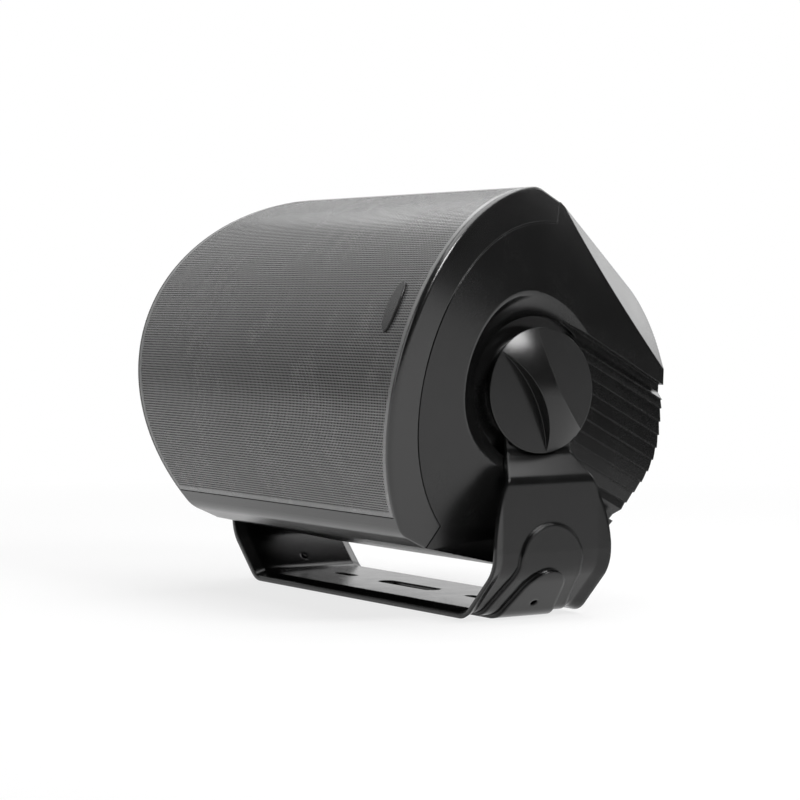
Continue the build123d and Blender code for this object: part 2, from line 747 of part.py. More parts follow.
crown_height = knob_crown_x - knob_rim_x - knob_land
crown_radius = (knob_radius**2 + crown_height**2) / (2 * crown_height)
grip_lean = math.radians(knob_grip_deg + tilt_deg)
with BuildPart() as knob:
    with BuildSketch():
        with BuildLine():
            Polyline(
                (knob_crown_x + 1, 0),
                (knob_foot_x + 1, 0),
                (knob_foot_x + 1, 22),
                (knob_foot_x, 23),
                (knob_foot_x, knob_radius - 2.2),
                (knob_rim_x, knob_radius),
                (knob_crown_x + 1, knob_radius),
                close=True,
            )
        make_face()
    revolve(axis=Axis.X)
    with Locations(Location((knob_crown_x - crown_radius, 0, 0), (0, 0, 180))):
        Sphere(crown_radius, mode=Mode.INTERSECT)
    with BuildSketch(Plane.YZ.offset(knob_scoop_x)):
        across, along = knob_scoop_offset * math.cos(grip_lean), knob_scoop_offset * math.sin(grip_lean)
        for side in ends:
            with Locations((side * across, side * along)):
                Circle(knob_scoop_radius)
    extrude(amount=20, mode=Mode.SUBTRACT)
    with Locations(Location((knob_foot_x, 0, 0), (0, 90, 0))):
        Cylinder(stud_radius + 0.02, 12.04, mode=Mode.SUBTRACT)

right_pieces = {
    "pivot_insert": pivot_insert,
    "friction_washer": friction_washer,
    "clamp_washer": clamp_washer,
    "knob_stud": knob_stud,
    "knob": knob,
}
for name, piece in right_pieces.items():
    save(piece, f"{name}_right")
    save(mirrored(piece), f"{name}_left")

# Yoke
neck_end_z = pivot_height - neck_end_radius
neck_start_z = pivot_height - neck_start_radius
neck_low, neck_high = neck_half_widths
right_path = [
    (yoke_base_half, arch_depth + web_depth),
    (yoke_arm_x, yoke_flare_top),
    (yoke_arm_x, neck_start_z),
    (head_outer_x, neck_end_z),
    (head_outer_x, pivot_height + head_radius + 2),
]
left_path = [(-x, z) for x, z in reversed(right_path)]
bend_radii = [8, 8, 22, 14, 14, 22, 8, 8]


def yoke_strip(start, thickness):
    """The bent strip between two depths: nought is the outer face, positive runs inwards."""
    with BuildPart() as strip:
        with BuildSketch(Plane.XZ):
            with BuildLine():
                path = FilletPolyline(*left_path, *right_path, radius=bend_radii)
                if start:
                    side = Side.LEFT if start > 0 else Side.RIGHT
                    offset(path, amount=abs(start), side=side, closed=False)
                offset(amount=thickness, side=Side.LEFT, closed=True)
            make_face()
        extrude(amount=yoke_half_width, both=True)
    return strip.part


def turned_sheet():
    """The bent strip with its long edges turned outwards."""
    start_x, start_z = left_path[0]
    with BuildPart() as strip:
        with BuildLine(Plane.XZ) as route:
            FilletPolyline(*left_path, *right_path, radius=bend_radii)
        with BuildSketch(Plane((start_x, 0, start_z), (0, 1, 0), (0, 0, -1))):
            with BuildLine():
                Polyline(
                    (-yoke_half_width, -edge_turn),
                    (-yoke_flat_half, 0),
                    (yoke_flat_half, 0),
                    (yoke_half_width, -edge_turn),
                    (yoke_half_width, yoke_sheet - edge_turn),
                    (yoke_flat_half, yoke_sheet),
                    (-yoke_flat_half, yoke_sheet),
                    (-yoke_half_width, yoke_sheet - edge_turn),
                    close=True,
                )
            make_face()
        sweep(path=route.wire())
    return strip.part


def arch(halves, shoulder_z, top_z, grow):
    """Round-topped outline of a pressing, seen along the pivot."""
    low, high = halves
    with BuildSketch(Plane.YZ) as shape:
        with BuildLine():
            Line((-low, -2), (-high, shoulder_z))
            ThreePointArc((-high, shoulder_z), (0, top_z), (high, shoulder_z))
            Line((high, shoulder_z), (low, -2))
            Line((low, -2), (-low, -2))
        make_face()
        if grow:
            offset(amount=grow)
    return shape.sketch


def pressing(start, thickness, outline):
    """Part of the bent strip inside an arch outline."""
    with BuildPart() as patch:
        add(yoke_strip(start, thickness))
        extrude(outline, amount=200, both=True, mode=Mode.INTERSECT)
    return patch.part


with BuildPart() as mounting_bracket:
    add(turned_sheet())
    with BuildSketch(Plane.YZ):
        with BuildLine():
            Polyline((-yoke_half_width, yoke_flare_top), (-yoke_half_width, -5), (yoke_half_width, -5))
            Line((yoke_half_width, -5), (yoke_half_width, yoke_flare_top))
            ThreePointArc((yoke_half_width, yoke_flare_top), (40.5, 66), (neck_low, neck_start_z))
            Polyline(
                (neck_low, neck_start_z),
                (neck_high, neck_end_z),
                (neck_high, pivot_height),
                (-neck_high, pivot_height),
                (-neck_high, neck_end_z),
                (-neck_low, neck_start_z),
            )
            ThreePointArc((-neck_low, neck_start_z), (-40.5, 66), (-yoke_half_width, yoke_flare_top))
        make_face()
        with Locations((0, pivot_height)):
            Circle(head_radius)
    extrude(amount=200, both=True, mode=Mode.INTERSECT)
    press_depth = 0
    for depth, halves, shoulder_z, top_z in (
        (arch_depth, arch_half, arch_shoulder_z, arch_top_z),
        (web_depth, web_half, web_shoulder_z, web_top_z),
    ):
        press_depth += depth
        add(pressing(-press_depth, depth, arch(halves, shoulder_z, top_z, yoke_sheet * 0.8)))
        add(pressing(yoke_sheet - press_depth, depth, arch(halves, shoulder_z, top_z, 0)), mode=Mode.SUBTRACT)
    with Locations(Location((0, 0, pivot_height), (0, 90, 0))):
        Cylinder(stud_radius + 0.06, 400, mode=Mode.SUBTRACT)
    with BuildSketch():
        SlotOverall(cable_slot[0], cable_slot[1])
        with Locations((screw_slot_x, 0), (-screw_slot_x, 0)):
            SlotOverall(screw_slot[0], screw_slot[1])
    extrude(amount=20, both=True, mode=Mode.SUBTRACT)
    for sx in ends:
        with Locations(Location((sx * (yoke_base_half + flare_hole[0]), 0, flare_hole[1]), (0, sx * 135, 0))):
            Cylinder(2.5, 40, mode=Mode.SUBTRACT)
save(mounting_bracket, "mounting_bracket", Location())
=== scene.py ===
import math

import bmesh
import bpy
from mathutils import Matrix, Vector


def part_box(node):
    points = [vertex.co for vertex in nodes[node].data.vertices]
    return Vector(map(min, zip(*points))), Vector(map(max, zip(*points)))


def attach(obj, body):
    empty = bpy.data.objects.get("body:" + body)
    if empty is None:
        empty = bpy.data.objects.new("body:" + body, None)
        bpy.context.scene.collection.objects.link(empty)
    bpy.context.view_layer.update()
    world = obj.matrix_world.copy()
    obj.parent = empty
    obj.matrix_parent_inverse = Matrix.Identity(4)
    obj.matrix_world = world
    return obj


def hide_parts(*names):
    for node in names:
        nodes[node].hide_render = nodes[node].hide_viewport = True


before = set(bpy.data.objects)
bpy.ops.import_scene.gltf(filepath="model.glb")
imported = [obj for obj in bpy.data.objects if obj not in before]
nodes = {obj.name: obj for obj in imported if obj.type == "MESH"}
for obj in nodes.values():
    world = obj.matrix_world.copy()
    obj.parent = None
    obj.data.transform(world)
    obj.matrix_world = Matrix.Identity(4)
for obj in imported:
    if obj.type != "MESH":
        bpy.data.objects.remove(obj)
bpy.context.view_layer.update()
mm = 0.001
print("frame loaded:", len(nodes), "nodes")

# the cabinet is drawn level with its pivot at the origin, then tilted on the yoke
knobLow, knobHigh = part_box("knob_right")
cabinetPose = {
    "pivotHeight": (knobLow.z + knobHigh.z) / 2,
    "tilt": math.radians(25.4),
}


# node helpers

def addNode(tree, kind, inputs=None, **settings):
    node = tree.nodes.new(kind)
    for key, value in settings.items():
        setattr(node, key, value)
    for key, value in (inputs or {}).items():
        if isinstance(value, bpy.types.NodeSocket):
            tree.links.new(value, node.inputs[key])
        else:
            node.inputs[key].default_value = value
    return node


def calc(tree, operation, *values):
    node = addNode(tree, "ShaderNodeMath", dict(enumerate(values)), operation=operation)
    return node.outputs[0]


def startMaterial(name, **constants):
    material = bpy.data.materials.new(name)
    material.use_nodes = True
    tree = material.node_tree
    shader = tree.nodes["Principled BSDF"]
    for socket, value in constants.items():
        shader.inputs[socket].default_value = value
    place = addNode(tree, "ShaderNodeTexCoord").outputs["Object"]
    return material, tree, shader, place


def noise(tree, place, scale, detail=3.0):
    values = {"Vector": place, "Scale": scale, "Detail": detail}
    return addNode(tree, "ShaderNodeTexNoise", values).outputs["Fac"]


def spread(tree, value, low, high, fromLow=0.3, fromHigh=0.7):
    values = {"Value": value, "From Min": fromLow, "From Max": fromHigh, "To Min": low, "To Max": high}
    return addNode(tree, "ShaderNodeMapRange", values).outputs["Result"]


def blendColours(tree, factor, first, second):
    node = addNode(tree, "ShaderNodeMix", data_type="RGBA")
    share = node.inputs[0]
    colours = [socket for socket in node.inputs if socket.type == "RGBA"]
    for socket, value in zip([share] + colours, (factor, first, second)):
        if isinstance(value, bpy.types.NodeSocket):
            tree.links.new(value, socket)
        else:
            socket.default_value = value
    return [socket for socket in node.outputs if socket.type == "RGBA"][0]


def grey(value, warm=0.0):
    return (value * (1 + warm), value, value * (1 - warm), 1.0)


edgeSamples = 6


def relief(tree, shader, height, depth, edgeRound=0.0):
    values = {"Height": height, "Distance": depth, "Strength": 1.0}
    if edgeRound:
        soft = addNode(tree, "ShaderNodeBevel", {"Radius": edgeRound}, samples=edgeSamples)
        values["Normal"] = soft.outputs["Normal"]
    bump = addNode(tree, "ShaderNodeBump", values)
    tree.links.new(bump.outputs["Normal"], shader.inputs["Normal"])


# finishes: cloud is the slow change of tone over the piece, grain the fine texture of its skin

skin = {"cloudDetail": 4.0, "grainDetail": 2.0, "cloudShare": 0.6, "grainShare": 0.4}


def mottledFinish(name, look):
    gloss = {"Specular IOR Level": look.get("specular", 0.5)}
    material, tree, shader, place = startMaterial(name, **gloss)
    cloud = noise(tree, place, look["cloudScale"], skin["cloudDetail"])
    grain = noise(tree, place, look["grainScale"], skin["grainDetail"])
    tone = blendColours(tree, spread(tree, cloud, 0.0, 1.0), look["dark"], look["light"])
    tree.links.new(tone, shader.inputs["Base Color"])
    low, high = look["roughness"]
    fineShare = calc(tree, "MULTIPLY", grain, skin["grainShare"])
    rubbed = calc(tree, "MULTIPLY_ADD", cloud, skin["cloudShare"], fineShare)
    tree.links.new(spread(tree, rubbed, low, high), shader.inputs["Roughness"])
    relief(tree, shader, grain, look["grainDepth"], look.get("edgeRound", 0.0))
    return material


cabinetLook = {
    "dark": grey(0.0045), "light": grey(0.0065), "cloudScale": 26.0, "grainScale": 2100.0,
    "grainDepth": 0.000014, "roughness": (0.22, 0.29), "edgeRound": 0.0005,
}
bezelLook = {
    "dark": grey(0.005), "light": grey(0.0075), "cloudScale": 30.0, "grainScale": 2300.0,
    "grainDepth": 0.000012, "roughness": (0.21, 0.27), "edgeRound": 0.0005, "specular": 0.75,
}
knobLook = {
    "dark": grey(0.005), "light": grey(0.0075), "cloudScale": 45.0, "grainScale": 2500.0,
    "grainDepth": 0.000012, "roughness": (0.2, 0.26), "edgeRound": 0.0007,
}
yokeLook = {
    "dark": grey(0.0045), "light": grey(0.0065), "cloudScale": 60.0, "grainScale": 950.0,
    "grainDepth": 0.000008, "roughness": (0.17, 0.23), "edgeRound": 0.0024, "specular": 0.42,
}
grilleLook = {
    "dark": grey(0.15), "light": grey(0.175), "cloudScale": 18.0, "grainScale": 3000.0,
    "grainDepth": 0.000006, "roughness": (0.22, 0.3), "specular": 0.8,
}
badgeLook = {
    "dark": grey(0.014), "light": grey(0.02), "cloudScale": 120.0,
    "grainScale": 4000.0, "grainDepth": 0.00001, "roughness": (0.22, 0.3), "edgeRound": 0.0003,
}
rubberLook = {
    "dark": grey(0.012), "light": grey(0.02), "cloudScale": 70.0,
    "grainScale": 1500.0, "grainDepth": 0.00004, "roughness": (0.62, 0.8), "specular": 0.35,
}
flareLook = {
    "dark": grey(0.018), "light": grey(0.026), "cloudScale": 50.0,
    "grainScale": 2600.0, "grainDepth": 0.00003, "roughness": (0.4, 0.5), "edgeRound": 0.0004,
}
ferriteLook = {
    "dark": grey(0.045), "light": grey(0.075), "cloudScale": 90.0,
    "grainScale": 1200.0, "grainDepth": 0.00009, "roughness": (0.55, 0.75),
}
cementLook = {
    "dark": grey(0.62, 0.03), "light": grey(0.78, 0.03), "cloudScale": 140.0,
    "grainScale": 1700.0, "grainDepth": 0.00012, "roughness": (0.75, 0.9),
}
filmWrapLook = {
    "dark": (0.62, 0.43, 0.05, 1.0), "light": (0.74, 0.55, 0.09, 1.0), "cloudScale": 60.0,
    "grainScale": 600.0, "grainDepth": 0.00006, "roughness": (0.22, 0.36),
}
redCapLook = {
    "dark": (0.42, 0.008, 0.008, 1.0), "light": (0.55, 0.015, 0.012, 1.0), "cloudScale": 160.0,
    "grainScale": 2500.0, "grainDepth": 0.00002, "roughness": (0.25, 0.35), "edgeRound": 0.0003,
}
blackCapLook = dict(redCapLook, dark=grey(0.012), light=grey(0.02))


def platedFinish(name, look):
    material, tree, shader, place = startMaterial(name, Metallic=1.0)
    along = {"Vector": place, "Scale": look["drawn"]}
    stretched = addNode(tree, "ShaderNodeMapping", along).outputs["Vector"]
    lines = noise(tree, stretched, look["lineScale"])
    stains = noise(tree, place, look["stainScale"], skin["cloudDetail"])
    tone = blendColours(tree, spread(tree, stains, 0.0, 1.0), look["dark"], look["light"])
    tree.links.new(tone, shader.inputs["Base Color"])
    low, high = look["roughness"]
    tree.links.new(spread(tree, lines, low, high), shader.inputs["Roughness"])
    relief(tree, shader, lines, look["lineDepth"], look["edgeRound"])
    return material


zincLook = {
    "dark": (0.47, 0.47, 0.46, 1.0), "light": (0.62, 0.62, 0.63, 1.0), "drawn": (1.0, 0.15, 1.0),
    "lineScale": 900.0, "lineDepth": 0.00002, "stainScale": 45.0, "roughness": (0.24, 0.42),
    "edgeRound": 0.0002,
}
goldLook = dict(zincLook, dark=(0.72, 0.5, 0.17, 1.0), light=(0.85, 0.63, 0.25, 1.0), roughness=(0.16, 0.28))
domeLook = dict(zincLook, dark=(0.62, 0.62, 0.64, 1.0), light=(0.74, 0.74, 0.76, 1.0), roughness=(0.26, 0.36))


def levelled(tree, place):
    # object coordinates turned back to the level cabinet
    values = {"Vector": place, "Rotation": (cabinetPose["tilt"], 0.0, 0.0)}
    return addNode(tree, "ShaderNodeMapping", values).outputs["Vector"]


def windingFinish(name, look):
    # turns of enamelled wire, stacked along the cabinet's depth
    material, tree, shader, place = startMaterial(name, Metallic=1.0)
    turned = levelled(tree, place)
    waves = addNode(
        tree,
        "ShaderNodeTexWave",
        {"Vector": turned, "Scale": look["turnScale"], "Distortion": 0.4, "Detail": 1.0},
        bands_direction="Y",
    ).outputs["Fac"]
    tone = blendColours(tree, waves, look["dark"], look["light"])
    tree.links.new(tone, shader.inputs["Base Color"])
    tree.links.new(spread(tree, waves, *look["roughness"], 0.0, 1.0), shader.inputs["Roughness"])
    relief(tree, shader, waves, look["wireDepth"])
    return material


windingLook = {
    "dark": (0.3, 0.11, 0.04, 1.0), "light": (0.72, 0.33, 0.14, 1.0),
    "turnScale": 500.0, "wireDepth": 0.00025, "roughness": (0.5, 0.24),
}


def wovenFinish(name, look):
    # crossed threads in the plane of the baffle
    material, tree, shader, place = startMaterial(name, **{"Specular IOR Level": look["specular"]})
    turned = levelled(tree, place)
    weave = []
    for direction in ("X", "Z"):
        values = {"Vector": turned, "Scale": look["threadScale"], "Distortion": 0.6, "Detail": 1.0}
        weave.append(addNode(tree, "ShaderNodeTexWave", values, bands_direction=direction).outputs["Fac"])
    cloth = calc(tree, "MULTIPLY", *weave)
    stains = noise(tree, place, look["stainScale"], skin["cloudDetail"])
    stainPart = calc(tree, "MULTIPLY", stains, look["stainShare"])
    mixed = calc(tree, "MULTIPLY_ADD", cloth, 1 - look["stainShare"], stainPart)
    tree.links.new(blendColours(tree, mixed, look["dark"], look["light"]), shader.inputs["Base Color"])
    tree.links.new(spread(tree, mixed, *look["roughness"], 0.0, 1.0), shader.inputs["Roughness"])
    relief(tree, shader, cloth, look["threadDepth"])
    return material


spiderLook = {
    "dark": (0.3, 0.2, 0.06, 1.0), "light": (0.58, 0.43, 0.17, 1.0), "threadScale": 420.0,
    "threadDepth": 0.00015, "stainScale": 60.0, "stainShare": 0.4,
    "roughness": (0.9, 0.7), "specular": 0.3,
}
coneLook = {
    "dark": grey(0.016), "light": grey(0.032), "threadScale": 160.0,
    "threadDepth": 0.00004, "stainScale": 220.0, "stainShare": 0.4,
    "roughness": (0.62, 0.48), "specular": 0.3,
}


def boardFinish(name, look):
    # green lacquer with raised copper runs under it
    material, tree, shader, place = startMaterial(name)
    cells = addNode(
        tree,
        "ShaderNodeTexBrick",
        {"Vector": place, "Scale": look["runScale"], "Mortar Size": look["runWidth"], "Mortar Smooth": 0.3},
    ).outputs["Fac"]
    fibres = noise(tree, place, look["fibreScale"])
    laminate = blendColours(tree, spread(tree, fibres, 0.0, 1.0), look["dark"], look["light"])
    tree.links.new(blendColours(tree, cells, laminate, look["run"]), shader.inputs["Base Color"])
    tree.links.new(spread(tree, fibres, *look["roughness"]), shader.inputs["Roughness"])
    relief(tree, shader, cells, look["runDepth"])
    return material


boardLook = {
    "dark": (0.012, 0.075, 0.03, 1.0), "light": (0.02, 0.11, 0.045, 1.0), "run": (0.06, 0.21, 0.08, 1.0),
    "runScale": 90.0, "runWidth": 0.08, "runDepth": 0.00008, "fibreScale": 500.0, "roughness": (0.28, 0.42),
}

finishes = {
    "cabinet_plastic": mottledFinish("cabinetPlastic", cabinetLook),
    "bezel_plastic": mottledFinish("bezelPlastic", bezelLook),
    "knob_plastic": mottledFinish("knobPlastic", knobLook),
    "yoke_paint": mottledFinish("yokePaint", yokeLook),
    "grille_paint": mottledFinish("grillePaint", grilleLook),
    "badge_plastic": mottledFinish("badgePlastic", badgeLook),
    # the rubber finish is also lent to the grille's hole walls as painted shade
    "seal_rubber": mottledFinish("sealRubberAndHoleShade", rubberLook),
    "tweeter_plastic": mottledFinish("tweeterPlastic", flareLook),
    "ferrite": mottledFinish("ferrite", ferriteLook),
    "part_white": mottledFinish("resistorCement", cementLook),
    "part_yellow": mottledFinish("capacitorWrap", filmWrapLook),
    "cap_red": mottledFinish("redCapPlastic", redCapLook),
    "cap_black": mottledFinish("blackCapPlastic", blackCapLook),
    "steel": platedFinish("zincSteel", zincLook),
    "gold_brass": platedFinish("goldBrass", goldLook),
    "aluminium": platedFinish("domeAluminium", domeLook),
    "coil_copper": windingFinish("copperWinding", windingLook),
    "spider_cloth": wovenFinish("spiderCloth", spiderLook),
    "cone_plastic": wovenFinish("conePulp", coneLook),
    "board_laminate": boardFinish("boardLaminate", boardLook),
}
for node in nodes.values():
    for holder in node.material_slots:
        holder.material = finishes[holder.material.name.split(".")[0]]
print("finishes set:", len(finishes))


# perforated grille: square rows of round holes, bent round the front

grilleSizes = {
    "pitch": 1.705 * mm,
    "holeRadius": 0.65 * mm,
    "holeCorners": 6,
    "weld": 0.02 * mm,
    "sheet": 0.5 * mm,
    "frontRadius": 133.0 * mm,
    "centreDepth": 17.0 * mm,
    "halfLength": 170.0 * mm,
    "endTaper": 0.16,
    "endBowRadius": 285.0 * mm,
    "halfHeight": 110.0 * mm,
    "rim": 3.9 * mm,  # bezel edge and fitting gap outside the grille
    "border": 3.2 * mm,  # plain margin round the holes
    "borderProud": 0.12 * mm,
    "borderSteps": 40,
    "columns": 192,
    "rowsPerBand": 30,
    "bands": 5,
}


def grilleReach(arc, rim):
    size = grilleSizes
    turn = arc / size["frontRadius"]
    height = size["frontRadius"] * math.sin(turn)
    setback = size["frontRadius"] * (1 - math.cos(turn))
    bow = size["endBowRadius"] - math.sqrt(size["endBowRadius"] ** 2 - height**2)
    return size["halfLength"] - size["endTaper"] * setback - bow - rim


def bentOntoFront(x, arc, depth):
    size = grilleSizes
    turn = arc / size["frontRadius"]
    radius = size["frontRadius"] - depth
    y = size["centreDepth"] - radius * math.cos(turn)
    z = radius * math.sin(turn)
    tiltCos, tiltSin = math.cos(cabinetPose["tilt"]), math.sin(cabinetPose["tilt"])
    return Vector((x, y * tiltCos + z * tiltSin, cabinetPose["pivotHeight"] - y * tiltSin + z * tiltCos))


def buildPerforatedTree():
    tree = bpy.data.node_groups.new("perforatedSheet", "GeometryNodeTree")
    tree.interface.new_socket("Geometry", in_out="OUTPUT", socket_type="NodeSocketGeometry")
    floats = (
        "Pitch", "Hole Radius", "Weld", "Sheet", "Front Radius", "Centre Depth", "Half Length", "End Taper",
        "End Bow Radius", "Rim", "Proud", "Band Middle", "Tilt", "Pivot Height",
    )
    for name in floats:
        tree.interface.new_socket(name, in_out="INPUT", socket_type="NodeSocketFloat")
    for name in ("Columns", "Rows", "Hole Corners"):
        tree.interface.new_socket(name, in_out="INPUT", socket_type="NodeSocketInt")
    for name in ("Paint", "Hole Shade"):
        tree.interface.new_socket(name, in_out="INPUT", socket_type="NodeSocketMaterial")
    given = tree.nodes.new("NodeGroupInput").outputs

    def split(vector):
        return addNode(tree, "ShaderNodeSeparateXYZ", {0: vector}).outputs

    def join(x, y, z):
        return addNode(tree, "ShaderNodeCombineXYZ", {0: x, 1: y, 2: z}).outputs[0]

    # one square of sheet with its hole
    sides = {"Width": given["Pitch"], "Height": given["Pitch"]}
    square = addNode(tree, "GeometryNodeCurvePrimitiveQuadrilateral", sides)
    rim = {"Resolution": given["Hole Corners"], "Radius": given["Hole Radius"]}
    hole = addNode(tree, "GeometryNodeCurvePrimitiveCircle", rim)
    outline = addNode(tree, "GeometryNodeJoinGeometry")
    tree.links.new(square.outputs[0], outline.inputs[0])
    tree.links.new(hole.outputs["Curve"], outline.inputs[0])
    cell = addNode(tree, "GeometryNodeFillCurve", {0: outline.outputs[0]}).outputs[0]

    # a grid of them, kept where the sheet reaches
    columnSpan = calc(tree, "MULTIPLY", calc(tree, "SUBTRACT", given["Columns"], 1.0), given["Pitch"])
    rowSpan = calc(tree, "MULTIPLY", calc(tree, "SUBTRACT", given["Rows"], 1.0), given["Pitch"])
    spans = {"Size X": columnSpan, "Size Y": rowSpan}
    counts = {"Vertices X": given["Columns"], "Vertices Y": given["Rows"]}
    grid = addNode(tree, "GeometryNodeMeshGrid", {**spans, **counts}).outputs["Mesh"]
    shift = join(0.0, given["Band Middle"], 0.0)
    placed = addNode(tree, "GeometryNodeSetPosition", {"Geometry": grid, "Offset": shift}).outputs[0]
    flat = split(addNode(tree, "GeometryNodeInputPosition").outputs[0])
    turn = calc(tree, "DIVIDE", flat["Y"], given["Front Radius"])
    height = calc(tree, "MULTIPLY", calc(tree, "SINE", turn), given["Front Radius"])
    sag = calc(tree, "SUBTRACT", 1.0, calc(tree, "COSINE", turn))
    setback = calc(tree, "MULTIPLY", sag, given["Front Radius"])
    bowSquare = calc(tree, "MULTIPLY", given["End Bow Radius"], given["End Bow Radius"])
    chord = calc(tree, "SQRT", calc(tree, "SUBTRACT", bowSquare, calc(tree, "MULTIPLY", height, height)))
    bow = calc(tree, "SUBTRACT", given["End Bow Radius"], chord)
    reach = calc(tree, "SUBTRACT", given["Half Length"], calc(tree, "MULTIPLY", given["End Taper"], setback))
    reach = calc(tree, "SUBTRACT", calc(tree, "SUBTRACT", reach, bow), given["Rim"])
    inside = calc(tree, "LESS_THAN", calc(tree, "ABSOLUTE", flat["X"]), reach)
    cells = addNode(
        tree, "GeometryNodeInstanceOnPoints", {"Points": placed, "Selection": inside, "Instance": cell}
    ).outputs[0]
    sheet = addNode(tree, "GeometryNodeRealizeInstances", {0: cells}).outputs[0]
    weld = {"Distance": given["Weld"]}
    sheet = addNode(tree, "GeometryNodeMergeByDistance", dict(weld, Geometry=sheet)).outputs[0]

    # thickness, with the back closed
    thick = addNode(
        tree, "GeometryNodeExtrudeMesh", {"Mesh": sheet, "Offset Scale": given["Sheet"], "Individual": False}
    ).outputs
    back = addNode(tree, "GeometryNodeFlipFaces", {0: sheet}).outputs[0]
    both = addNode(tree, "GeometryNodeJoinGeometry")
    tree.links.new(thick["Mesh"], both.inputs[0])
    tree.links.new(back, both.inputs[0])
    closed = addNode(tree, "GeometryNodeMergeByDistance", dict(weld, Geometry=both.outputs[0])).outputs[0]

    # bend round the front, then tilt on the pivot
    local = split(addNode(tree, "GeometryNodeInputPosition").outputs[0])
    bend = calc(tree, "DIVIDE", local["Y"], given["Front Radius"])
    radius = calc(tree, "SUBTRACT", given["Front Radius"], calc(tree, "ADD", given["Proud"], given["Sheet"]))
    radius = calc(tree, "ADD", radius, local["Z"])
    forward = calc(tree, "MULTIPLY", radius, calc(tree, "COSINE", bend))
    depth = calc(tree, "SUBTRACT", given["Centre Depth"], forward)
    rise = calc(tree, "MULTIPLY", radius, calc(tree, "SINE", bend))
    leant = addNode(
        tree,
        "ShaderNodeVectorRotate",
        {"Vector": join(local["X"], depth, rise), "Angle": calc(tree, "MULTIPLY", given["Tilt"], -1.0)},
        rotation_type="X_AXIS",
    ).outputs[0]
    lifted = addNode(
        tree, "ShaderNodeVectorMath", {0: leant, 1: join(0.0, 0.0, given["Pivot Height"])}, operation="ADD"
    ).outputs[0]
    curved = addNode(tree, "GeometryNodeSetPosition", {"Geometry": closed, "Position": lifted}).outputs[0]
    whole = addNode(tree, "GeometryNodeRealizeInstances", {0: curved}).outputs[0]

    # painted shade: the hole walls take the dark rubber finish in place of the paint
    paint = {"Geometry": whole, "Material": given["Paint"]}
    painted = addNode(tree, "GeometryNodeSetMaterial", paint).outputs[0]
    shade = {"Geometry": painted, "Selection": thick["Side"], "Material": given["Hole Shade"]}
    shaded = addNode(tree, "GeometryNodeSetMaterial", shade).outputs[0]
    addNode(tree, "NodeGroupOutput", {0: shaded})
    return tree


def plainMeshFrom(tree, name, values):
    holder = bpy.data.objects.new(name, bpy.data.meshes.new(name))
    bpy.context.scene.collection.objects.link(holder)
    modifier = holder.modifiers.new("build", "NODES")
    modifier.node_group = tree
    for item in tree.interface.items_tree:
        if item.in_out == "INPUT":
            modifier[item.identifier] = values[item.name]
    evaluated = holder.evaluated_get(bpy.context.evaluated_depsgraph_get())
    mesh = bpy.data.meshes.new_from_object(evaluated)
    holder.modifiers.remove(modifier)
    holder.data = mesh
    return holder


def buildGrille():
    size = grilleSizes
    tree = buildPerforatedTree()
    pieces = []
    for band in range(size["bands"]):
        middle = (band - (size["bands"] - 1) / 2) * size["rowsPerBand"] * size["pitch"]
        values = {
            "Pitch": size["pitch"], "Hole Radius": size["holeRadius"], "Hole Corners": size["holeCorners"],
            "Weld": size["weld"], "Sheet": size["sheet"],
            "Front Radius": size["frontRadius"], "Centre Depth": size["centreDepth"],
            "Half Length": size["halfLength"], "End Taper": size["endTaper"],
            "End Bow Radius": size["endBowRadius"], "Rim": size["rim"] + size["border"] - size["pitch"] / 2,
            "Proud": size["borderProud"], "Band Middle": middle, "Tilt": cabinetPose["tilt"],
            "Pivot Height": cabinetPose["pivotHeight"],
            "Columns": size["columns"], "Rows": size["rowsPerBand"],
            # the dark rubber finish on the hole walls is painted shade
            "Paint": finishes["grille_paint"], "Hole Shade": finishes["seal_rubber"],
        }
        pieces.append(plainMeshFrom(tree, f"grilleBand{band + 1}", values))
    return pieces


def buildGrilleBorder():
    size = grilleSizes
    arcHalf = size["frontRadius"] * math.asin(size["halfHeight"] / size["frontRadius"])
    steps = size["borderSteps"]

    def loop(inset, depth):
        top = arcHalf - inset
        side = [top - 2 * top * i / steps for i in range(steps + 1)]
        right = [(grilleReach(arc, size["rim"] + inset), arc) for arc in side]
        left = [(-x, arc) for x, arc in reversed(right)]
        return [bentOntoFront(x, arc, depth) for x, arc in right + left]

    shape = bmesh.new()
    corners = [(0.0, 0.0), (0.0, size["sheet"]), (size["border"], size["sheet"]), (size["border"], 0.0)]
    rings = [[shape.verts.new(point) for point in loop(inset, depth)] for inset, depth in corners]
    count = len(rings[0])
    for ring, following in zip(rings, rings[1:] + rings[:1]):
        for i in range(count):
            j = (i + 1) % count
            shape.faces.new((ring[i], ring[j], following[j], following[i]))
    bmesh.ops.recalc_face_normals(shape, faces=shape.faces)
    mesh = bpy.data.meshes.new("grilleBorder")
    shape.to_mesh(mesh)
    shape.free()
    mesh.materials.append(finishes["grille_paint"])
    border = bpy.data.objects.new("grilleBorder", mesh)
    bpy.context.scene.collection.objects.link(border)
    return border


grillePieces = buildGrille() + [buildGrilleBorder()]
for piece in grillePieces:
    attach(piece, "speaker")
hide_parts("grille")
print("grille perforated:", [len(piece.data.polygons) for piece in grillePieces], "faces")


# floor, backdrop, lamps and camera

stageSizes = {
    "floorHalf": 6.0,
    "floorDrop": 0.2 * mm,
    "white": (0.92, 0.94),
    "mottleScale": 3.0,
    "shadowShare": 0.22,  # how much of the floor's own light shows, close to the object
    "shadowReach": (0.35, 1.1),  # the share fades out between these distances
    "backdrop": {"away": 3.2, "width": 12.0, "height": 4.0, "turn": math.radians(57.0)},
}


